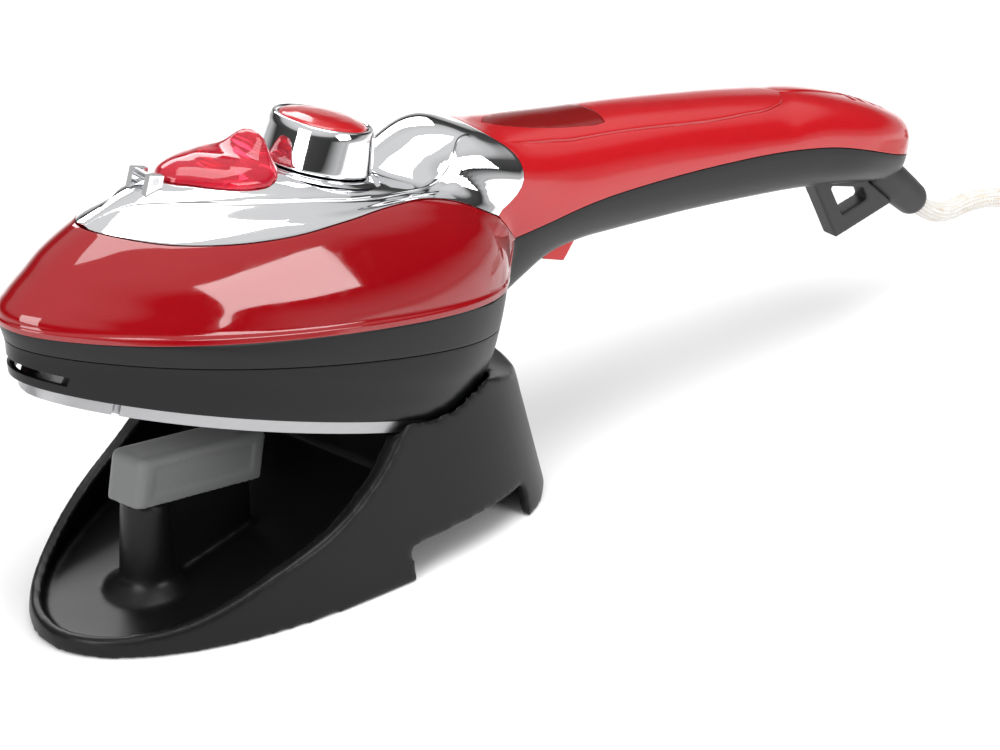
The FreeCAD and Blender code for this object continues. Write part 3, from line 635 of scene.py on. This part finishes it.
line = bpy.data.curves.new("cord_line", "CURVE")
line.dimensions = "3D"
spline = line.splines.new("NURBS")
spline.points.add(len(route) - 1)
for point, spot in zip(spline.points, route):
    point.co = (*(spot * MM), 1)
spline.order_u = 3
spline.use_endpoint_u = True
line.resolution_u = 6
line_object = bpy.data.objects.new("cord_line", line)
bpy.context.scene.collection.objects.link(line_object)
bpy.context.view_layer.update()
centreline = bpy.data.meshes.new_from_object(line_object)
path = np.array([vertex.co[:] for vertex in centreline.vertices])
gone(line_object)


def tube(name, path, radius, sides=14):
    """A tube round a path, with its own lengths in its UV map."""
    ahead = np.gradient(path, axis=0)
    ahead /= np.linalg.norm(ahead, axis=1)[:, None]
    side = np.cross(ahead, [0, 0, 1.0])
    side /= np.linalg.norm(side, axis=1)[:, None]
    over = np.cross(side, ahead)
    around = np.linspace(0, 2 * math.pi, sides + 1)
    rings = (path[:, None] + radius * (np.cos(around)[None, :, None] * side[:, None]
                                       + np.sin(around)[None, :, None] * over[:, None]))
    piece = sheet(name, rings)
    lengths = np.concatenate([[0], np.cumsum(np.linalg.norm(np.diff(path, axis=0), axis=1))])
    marks = piece.data.uv_layers[0]
    marks.name = "cord"
    columns = sides + 1
    for loop in piece.data.loops:
        ring, place_round = divmod(loop.vertex_index, columns)
        marks.data[loop.index].uv = (place_round / sides, lengths[ring])
    only(piece)
    bpy.ops.object.mode_set(mode="EDIT")
    bpy.ops.mesh.select_all(action="SELECT")
    bpy.ops.mesh.remove_doubles(threshold=0.00001)
    bpy.ops.mesh.normals_make_consistent(inside=False)
    bpy.ops.mesh.select_all(action="DESELECT")
    bpy.ops.mesh.select_non_manifold()
    bpy.ops.mesh.edge_face_add()
    bpy.ops.object.mode_set(mode="OBJECT")
    return smoothed(piece, 60)


cord = tube("mains_cord", path, CORD_RADIUS * MM)
add(cord, BRAID, "iron", "cord_fabric", "cord", "cord_coil", "cord_end")


def plug_place(points):
    """A turned profile laid along +Y from the cord's end."""
    points = np.asarray(points, float)
    return (PLUG_START + np.stack([points[..., 0], points[..., 2], -points[..., 1]], axis=-1)) * MM


PLUG_PROFILE = [(3.3, -0.5), (4.5, 0), (5.0, 3), (4.6, 3.6), (5.2, 4.4), (5.4, 7), (5.0, 7.6), (5.6, 8.4),
                (6.4, 14), (11.5, 16), (17.2, 23), (18.3, 27), (18.3, 38), (17.2, 40), (0, 40)]
plug = turned("mains_plug", corner_rounded(PLUG_PROFILE, 1.2), plug_place, 56)
add(plug, RUBBER, "iron", "plug_black", "plug_body")
PIN_PROFILE = [(0, 38), (2.4, 38), (2.4, 56.6), (1.5, 59), (0, 59)]
PIN_SPREAD = 9.5
for number, offset in ((1, -PIN_SPREAD), (2, PIN_SPREAD)):
    prong = turned("plug_pin_%d" % number, corner_rounded(PIN_PROFILE, 0.6),
                   lambda p, offset=offset: plug_place(np.asarray(p) + (offset, 0, 0)), 28)
    add(prong, NICKEL, "iron", "pin_metal", "plug_prong_%d" % number)


# ---------------------------------------------------------------- over-the-top shells: deck and handle
def crown(share, near_end, far_end, low, crest, drop, flank=14, top=16):
    """Rows of points from one lower edge over the top to the other, with a raised strip along the middle."""
    share = np.asarray(share, float)
    edge = near_end(60.0) * (1 - share) + far_end(60.0) * share
    for _ in range(14):
        edge = near_end(low(edge)) * (1 - share) + far_end(low(edge)) * share
    turn_low = turn_at_height(edge, low(edge) + SLIT)
    turn_crest = np.clip(turn_at_width(edge, crest(edge)), turn_low + 0.02, math.pi / 2 - 0.03)
    rows = []
    for a in np.linspace(0, 1, flank):
        rows.append((turn_low + (turn_crest - turn_low) * a, drop(edge) * ease(a / 0.6)))
    for b in np.concatenate([[0.014, 0.03], np.linspace(0.06, 1, top)]):
        lift = 1 - ease((b + 0.02) / 0.07)
        rows.append((turn_crest + (math.pi / 2 - turn_crest) * b, drop(edge) * lift))
    turn = np.array([row[0] for row in rows])
    sink = np.array([row[1] for row in rows])
    x = np.broadcast_to(edge, turn.shape)
    for _ in range(5):
        z = height(x, turn)
        x = near_end(z) * (1 - share) + far_end(z) * share
    r = skin(x, turn) - sink
    y, z = r * np.cos(turn), CORE(x) + r * np.sin(turn)
    y[-1] = 0
    near = np.stack([x, -y, z], axis=-1)
    far = np.stack([x, y, z], axis=-1)[-2::-1]
    return np.concatenate([near, far])


TIP = 17.3
deck_share = np.linspace(0, 1, 130) ** 1.25
ISLAND = Line([(17, 0.5), (26, 3.0), (34, 8.0), (46, 13.6), (60, 17.6), (76, 20.4), (92, 21.6), (108, 20.0),
               (120, 16.6), (132, 12.6), (143, 9.6), (153, 8.0)])
ISLAND_DROP = Line([(17, 0), (24, 0.3), (34, 1.2), (60, 1.5), (110, 1.5), (126, 1.2), (140, 0.3), (146, 0),
                    (156, 0)])
deck_points = crown(deck_share, lambda z: TIP + 0 * z, lambda z: ARC(z) - SLIT, DECK_SEAM, ISLAND,
                    ISLAND_DROP)
deck = sheet("chrome_cover", placed(deck_points))
closed_up(deck, placed([95, 0, 52]))
thickened(deck, 1.8)
rounded(deck, 0.35, 3, 40)
smoothed(deck, 40)
add(deck, CHROME, "iron", "chrome_cover", "top_cover")

handle_x = np.concatenate([np.linspace(146, 176, 34), np.linspace(176, 318, 76)[1:],
                           318 + (TAIL - 318) * np.sin(np.linspace(0, math.pi / 2, 16))[1:]])
handle_share = (handle_x - 146) / (TAIL - 146)
STRIP = Line([(140, 12.0), (160, 12.6), (200, 12.2), (250, 11.4), (262, 9.6), (268, 6.4), (271, 1.5),
              (340, 0.5)])
STRIP_DROP = Line([(146, 0.0), (158, 0.55), (200, 0.7), (255, 0.7), (268, 0.6), (275, 0.0), (340, 0.0)])


def handle_low(x):
    return np.where(x < 156, TANK_CORNER(x), HANDLE_SEAM(x))


handle_points = crown(handle_share, ARC, lambda z: TAIL + 0 * z, handle_low, STRIP, STRIP_DROP)


def capped(points):
    """The same rows with the last column drawn in to the core line, which closes the tail."""
    middle = np.array([TAIL + 0.6, 0, float(CORE(TAIL))])
    drawn = points[:, -1:] * 0.7 + middle * 0.3
    return np.concatenate([points, drawn, drawn * 0 + middle], axis=1)


grip = sheet("handle_top", placed(capped(handle_points)))
closed_up(grip, placed([240, 0, 74]))
thickened(grip, 2.0)

# the window and the air slots in the handle's top
WINDOW_FROM, WINDOW_TO = 151.0, 193.0
WINDOW = Line([(WINDOW_FROM, 0.4), (154, 3.2), (158, 5.2), (164, 7.0), (172, 8.4), (182, 9.2), (189, 9.0),
               (191.5, 7.6), (WINDOW_TO, 0.4)])
WINDOW_GAP = 0.3


def even_half(half):
    """A plan outline of one half width all along."""
    return lambda x: half + 0 * x


def plan_block(name, half, start, stop, low, high, grow=0.0, count=30):
    """An upright block with a plan outline, used to cut."""
    x = start - grow + (stop - start + 2 * grow) * (1 - np.cos(np.linspace(0, math.pi, count))) / 2
    y = half(np.clip(x, start, stop)) + grow
    ring = np.concatenate([np.stack([x, -y], 1), np.stack([x, y], 1)[::-1]])
    ring = np.concatenate([ring, ring[:1]])
    middle = np.array([(start + stop) / 2, 0.0])
    rows = [ring * 0 + middle, ring, ring, ring * 0 + middle]
    levels = [low, low, high, high]
    points = np.stack([np.concatenate([row, np.full((len(ring), 1), level)], 1)
                       for row, level in zip(rows, levels)])
    block = sheet(name, placed(points))
    return closed_up(block, placed([middle[0], 0, (low + high) / 2]), 0.002)


window = grip.copy()
window.data = grip.data.copy()
bpy.context.scene.collection.objects.link(window)
window.name = window.data.name = "status_window"
wide = plan_block("wide", WINDOW, WINDOW_FROM, WINDOW_TO, 66, 110)
tight = plan_block("tight", WINDOW, WINDOW_FROM + WINDOW_GAP, WINDOW_TO - WINDOW_GAP, 66, 110, -0.25)
SLOT_FROM, SLOT_STEP, SLOT_WIDTH, SLOT_HALF = 300, 5, 1.9, 4.6
slots = []
for number in range(4):
    slot_from = SLOT_FROM + SLOT_STEP * number
    slots.append(plan_block("slot", even_half(SLOT_HALF), slot_from, slot_from + SLOT_WIDTH, 84, 110, 0, 8))
wide = joined(wide, *slots)
cut_away(grip, wide)
cut_away(window, tight, keep="INTERSECT")
gone(wide, tight)
rounded(grip, 0.25, 2, 50)
rounded(window, 0.3, 2, 50)
smoothed(grip, 42)
smoothed(window, 42)
add(grip, RED, "iron", "handle_red", "handle_upper")
add(window, WINDOW_RED, "iron", "window_red", "indicator_window")

# ---------------------------------------------------------------- round-the-nose shells: tank and casing
def wrapped(rear, rows, low, high, bulge=None, columns=70, end_share=0.5):
    """Rows of points from the near rear edge round the nose to the far rear edge."""
    share = np.linspace(-1, 1, 2 * columns + 1)
    spread = 1 - np.cos(np.abs(share) * math.pi * end_share)
    spread = spread / spread.max()
    level = np.asarray(rows, float)[:, None]
    z = low(60.0) + (high(60.0) - low(60.0)) * level + 0 * share
    for _ in range(16):
        x = FRONT(z) + (rear(z) - FRONT(z)) * spread
        z = low(x) + (high(x) - low(x)) * level
    half = side_half(x, z)
    half = np.where(np.abs(share) < 1e-9, 0, half)
    if bulge is not None:
        push = bulge(z - low(x))
        half = half + push * np.clip(half / 6, 0, 1)
        x = x - push * (1 - np.clip(spread * 14, 0, 1))
    return np.stack([x, half * np.sign(share), z], axis=-1)


def tank_low(x):
    return np.where(x < 128, TANK_SEAM(x), np.maximum(TANK_SEAM(x), TANK_END(x))) + SLIT


def tank_high(x):
    return np.where(x < 146, DECK_SEAM(x), TANK_CORNER(x)) - SLIT


def tank_lip(above):
    """A flange along the tank's lower edge."""
    return 0.6 * (1 - ease((above - 1.5) / 0.9))


LIP_ROWS = [0, 0.012, 0.03, 0.045, 0.055, 0.065, 0.075, 0.09, 0.11]
tank_rows = np.concatenate([LIP_ROWS, np.linspace(0.14, 1, 34)])
tank_points = wrapped(lambda z: 155.6 + 0 * z, tank_rows, tank_low, tank_high, tank_lip, 90)
tank = sheet("water_tank_shell", placed(tank_points))
closed_up(tank, placed([80, 0, 40]))
thickened(tank, 1.8)
rounded(tank, 0.3, 2, 40)
smoothed(tank, 38)
add(tank, TANK_RED, "iron", "tank_red", "water_tank")

SKIRT_ROWS = 13
band_points = wrapped(lambda z: 128.0 + 0 * z, np.linspace(0, 1, SKIRT_ROWS), lambda x: SKIRT_SEAM(x) + SLIT,
                      lambda x: TANK_SEAM(x) - SLIT, columns=70)
casing_x = np.concatenate([np.linspace(128, 172, 40), np.linspace(172, 318, 74)[1:],
                           318 + (TAIL - 318) * np.sin(np.linspace(0, math.pi / 2, 16))[1:]])


def casing_high(x):
    heel = np.maximum(TANK_END(x), TANK_SEAM(np.minimum(x, 128)))
    return np.where(x < 128.01, TANK_SEAM(x), np.where(x < 156, heel, HANDLE_SEAM(x))) - SLIT


rows = np.linspace(0, 1, SKIRT_ROWS)[:, None]
x = casing_x[None, :] + 0 * rows
floor_turn = turn_at_height(casing_x, SKIRT_SEAM(casing_x) + SLIT)
bottom = height(casing_x, np.full_like(casing_x, -math.pi / 2))
floor_turn = np.where(bottom > SKIRT_SEAM(casing_x) + SLIT, -math.pi / 2, floor_turn)
roof_turn = turn_at_height(casing_x, casing_high(casing_x))
even = floor_turn + (roof_turn - floor_turn) * rows
lowest = np.maximum(SKIRT_SEAM(x) + SLIT, bottom)
flat_z = lowest + (casing_high(x) - lowest) * rows
level_turn = turn_at_height(x, flat_z)
share = ease((x - 132) / 30)
turn = level_turn * (1 - share) + even * share
r = skin(x, turn)
half = np.where(turn < -math.pi / 2 + 1e-3, 0, r * np.cos(turn))
casing = np.stack([x, -half, CORE(x) + r * np.sin(turn)], axis=-1)
near_side = sheet("casing", placed(capped(casing)))
far_side = sheet("casing_far", placed(capped(casing * np.array([1, -1, 1]))))
band = sheet("casing_band", placed(band_points))
casing = joined(near_side, far_side, band)
closed_up(casing, placed([150, 0, 45]), 0.05)
casing.name = casing.data.name = "casing_lower"
thickened(casing, 2.0)
TRIGGER_ROOM_HALF = 6.9
trigger_room = plan_block("trigger_room", even_half(TRIGGER_ROOM_HALF), 178.5, 198.5, 30, 60, 0, 8)
cut_away(casing, trigger_room)
gone(trigger_room)
rounded(casing, 0.3, 2, 48)
smoothed(casing, 40)
add(casing, CHARCOAL, "iron", "handle_dark", "handle_lower", "upper_skirt")


def skirt_rear(z):
    """The rear silhouette below the skirt's seam."""
    low, high = np.full(np.shape(z), 146.0), np.full(np.shape(z), 184.0)
    for _ in range(14):
        mid = (low + high) / 2
        held = height(mid, np.full(np.shape(z), -math.pi / 2)) < z
        low, high = np.where(held, mid, low), np.where(held, high, mid)
    return np.maximum(REAR(z) - 0.05, low - 0.1)


SKIRT_BOTTOM = 3.7
CLOSE_ROWS = [0.275, 0.29, 0.30, 0.31, 0.325, 0.34]
skirt_rows = np.concatenate([np.linspace(0, 0.26, 7), CLOSE_ROWS, np.linspace(0.38, 1, 14)])
skirt_points = wrapped(skirt_rear, skirt_rows, even_half(SKIRT_BOTTOM), lambda x: SKIRT_SEAM(x) - SLIT,
                       None, 90, 1.0)
skirt = sheet("skirt_lower", placed(skirt_points))
closed_up(skirt, placed([80, 0, 14]), 0.05)
thickened(skirt, 2.0)
nose_gap = plan_block("nose_gap", even_half(30), -8, 12.5, 6.2, 8.8, 0, 8)
cut_away(skirt, nose_gap)
gone(nose_gap)
rounded(skirt, 0.35, 2, 45)
smoothed(skirt, 38)
add(skirt, BLACK, "iron", "skirt_plastic", "lower_skirt")

# ---------------------------------------------------------------- dial
DIAL_X = 91.6


def upright(x, y=0.0):
    return lambda points: placed(np.asarray(points, float) + (x, y, 0))


DIAL_PROFILE = [(0, 65.3), (15.4, 65.3), (16.4, 66.0), (16.2, 67.6), (15.0, 76.4), (14.2, 78.3),
                (13.0, 78.3), (12.6, 77.4), (12.6, 76.8), (0, 76.8)]
dial = turned("dial_knob", corner_rounded(DIAL_PROFILE, 0.8), upright(DIAL_X), 96)
add(dial, CHROME, "dial", "dial_chrome", "temperature_dial")
CAP_PROFILE = [(0, 76.8), (12.4, 76.8), (12.4, 77.8), (11.6, 78.6), (8.0, 79.5), (4.0, 79.9), (0.4, 80.0),
               (0, 80.0)]
cap = turned("dial_insert", corner_rounded(CAP_PROFILE, 0.7), upright(DIAL_X), 72)
add(cap, RED, "dial", "cap_red", "dial_cap")
COLLAR_PROFILE = [(15.6, 64.2), (20.0, 64.3), (18.4, 64.9), (16.9, 65.15), (15.6, 65.15)]
collar = turned("dial_collar", corner_rounded(COLLAR_PROFILE, 0.5), upright(DIAL_X), 96)
add(collar, CHROME, "iron", "chrome_cover")

# ---------------------------------------------------------------- filler lid
LEAF = Line([(38.4, 0.0), (40.0, 3.4), (44.0, 6.9), (50.0, 10.6), (56.0, 13.0), (62.0, 14.0), (67.0, 13.4),
             (70.6, 10.4), (72.6, 5.4), (73.2, 0.0)])


def lid_points():
    along = np.concatenate([38.4 + 17.4 * (1 - np.cos(np.linspace(0, math.pi, 34)))])
    ring = np.concatenate([np.stack([along, -LEAF(along)], 1), np.stack([along, LEAF(along)], 1)[-2::-1]])
    middle = np.array([59.0, 0.0])
    rows, tops = [], []
    for k in np.concatenate([np.linspace(0, 0.9, 16), [0.94, 0.97, 0.99, 1.0]]):
        rows.append(middle + (ring - middle) * k)
        tops.append(0.5 + 2.9 * max(0.0, 1 - k ** 5) ** 0.5)
    for k in (1.0, 0.8, 0.4, 0.0):
        rows.append(middle + (ring - middle) * k)
        tops.append(0.0)
    plan, lift = np.array(rows), np.array(tops)[:, None]
    turn = turn_at_width(plan[..., 0], np.abs(plan[..., 1]))
    base = np.where(np.abs(plan[..., 1]) < 0.3, height(plan[..., 0], turn * 0 + math.pi / 2),
                    height(plan[..., 0], turn))
    x, y = plan[..., 0], plan[..., 1]
    rise = np.exp(-((x - 68.2) / np.where(x < 68.2, 4.6, 1.9)) ** 2) * np.exp(-(y / 7.6) ** 4)
    z = base + 0.4 + lift + 5.6 * rise * (lift > 0.6)
    return np.stack([x, y, z], axis=-1)


lid = sheet("lid_leaf", placed(lid_points()))
closed_up(lid, placed([60, 0, 62]), 0.01)
smoothed(lid, 50)
add(lid, LID_RED, "lid", "lid_red", "filler_lid")
BOSS_PROFILE = [(0, 61.6), (6.4, 61.6), (6.4, 64.9), (5.6, 65.5), (4.6, 65.2), (4.4, 64.2), (0, 64.2)]
BOSS_X = 57.0
boss = turned("lid_boss", corner_rounded(BOSS_PROFILE, 0.5), upright(BOSS_X), 48)
add(boss, LID_RED, "lid", "lid_red", "filler_seal")

# ---------------------------------------------------------------- trigger, loop, guard
trigger = softened("trigger_lever", "steam_trigger", 0.35, 5)
add(trigger, SATIN_RED, "trigger", "trigger_red", "steam_trigger")
loop = softened("hook_loop", "hanging_loop", 0.4, 12)
add(loop, RUBBER, "iron", "plug_black", "hanging_loop")

GUARD_WAY = np.array([0.905, 0.0, -0.426])
GUARD_FROM = np.array([322.0, 0.0, 70.8])


def guard_place(points):
    points = np.asarray(points, float)
    side = np.array([0.426, 0.0, 0.905])
    return placed(GUARD_FROM + points[..., 2:3] * GUARD_WAY + points[..., :1] * side
                  + points[..., 1:2] * np.array([0.0, 1.0, 0.0]))


GUARD_PROFILE = [(3.4, 2), (5.9, 2), (6.05, 12), (6.05, 14), (5.8, 20), (5.4, 27.4), (4.6, 29.0),
                 (3.4, 29.2), (3.3, 26)]
guard = turned("cord_sleeve", corner_rounded(GUARD_PROFILE, 0.8), guard_place, 56)
add(guard, RUBBER, "iron", "plug_black", "cord_guard")

# ---------------------------------------------------------------- stand
stand = softened("stand_moulding", "stand_shell", 0.85, 12)
add(stand, STAND_BLACK, "stand", "stand_plastic", "stand_shell")
pad = softened("silicone_rest", "support_pad", 0.5, 8)
add(pad, SILICONE, "stand", "pad_silicone", "support_pad")

# ---------------------------------------------------------------- floor and light
nothing_selected()
bpy.ops.mesh.primitive_plane_add(size=8, location=(0, 0, -0.0002))
floor = bpy.context.object
floor.name = "floor"
paper = Finish("paper", Roughness=0.9)
paper.set("Base Color", paper.mixed(paper.noise(3.0), (0.86, 0.86, 0.86), (0.88, 0.88, 0.88)))
floor.data.materials.append(paper.material)


def soft_light(name, location, target, width, length, power):
    lamp = bpy.data.lights.new(name, "AREA")
    lamp.shape, lamp.size, lamp.size_y, lamp.energy = "RECTANGLE", width, length, power
    holder = bpy.data.objects.new(name, lamp)
    bpy.context.scene.collection.objects.link(holder)
    holder.location = location
    holder.rotation_mode = "QUATERNION"
    holder.rotation_quaternion = (Vector(target) - Vector(location)).to_track_quat("-Z", "Y")


soft_light("top_box", (0.1, -0.1, 1.1), (0, 0, 0), 0.9, 0.7, 9)
soft_light("left_box", (-1.0, -0.3, 0.55), (0, 0, 0.05), 0.5, 0.8, 7)
soft_light("front_box", (0.4, -1.2, 0.6), (0.05, 0, 0.05), 0.7, 0.5, 7)
soft_light("rear_box", (0.5, 1.1, 0.7), (0.05, 0, 0.05), 0.8, 0.5, 6)

# a studio room: bright overhead, darker walls for the chrome to show, and plain white straight behind
sky = bpy.data.worlds.new("sky")
bpy.context.scene.world = sky
sky.use_nodes = True
tree = sky.node_tree
room = tree.nodes["Background"]
room.inputs[1].default_value = 0.75
way = tree.nodes.new("ShaderNodeTexCoord")
split = tree.nodes.new("ShaderNodeSeparateXYZ")
levels = tree.nodes.new("ShaderNodeValToRGB")
tree.links.new(way.outputs["Generated"], split.inputs[0])
tree.links.new(split.outputs[2], levels.inputs[0])
ROOM = [(0.0, 0.75), (0.06, 0.55), (0.16, 0.05), (0.42, 0.10), (0.52, 0.75), (0.72, 1.0)]
for number, (rise, shade) in enumerate(ROOM):
    stop = levels.color_ramp.elements[number] if number < 2 else levels.color_ramp.elements.new(rise)
    stop.position, stop.color = rise, (shade, shade, shade, 1)
tree.links.new(levels.outputs[0], room.inputs[0])
plain = tree.nodes.new("ShaderNodeBackground")
plain.inputs[0].default_value = (1, 1, 1, 1)
seen = tree.nodes.new("ShaderNodeLightPath")
either = tree.nodes.new("ShaderNodeMixShader")
tree.links.new(seen.outputs["Is Camera Ray"], either.inputs[0])
tree.links.new(room.outputs[0], either.inputs[1])
tree.links.new(plain.outputs[0], either.inputs[2])
tree.links.new(either.outputs[0], tree.nodes["World Output"].inputs[0])
bpy.context.scene.view_settings.view_transform = "Standard"
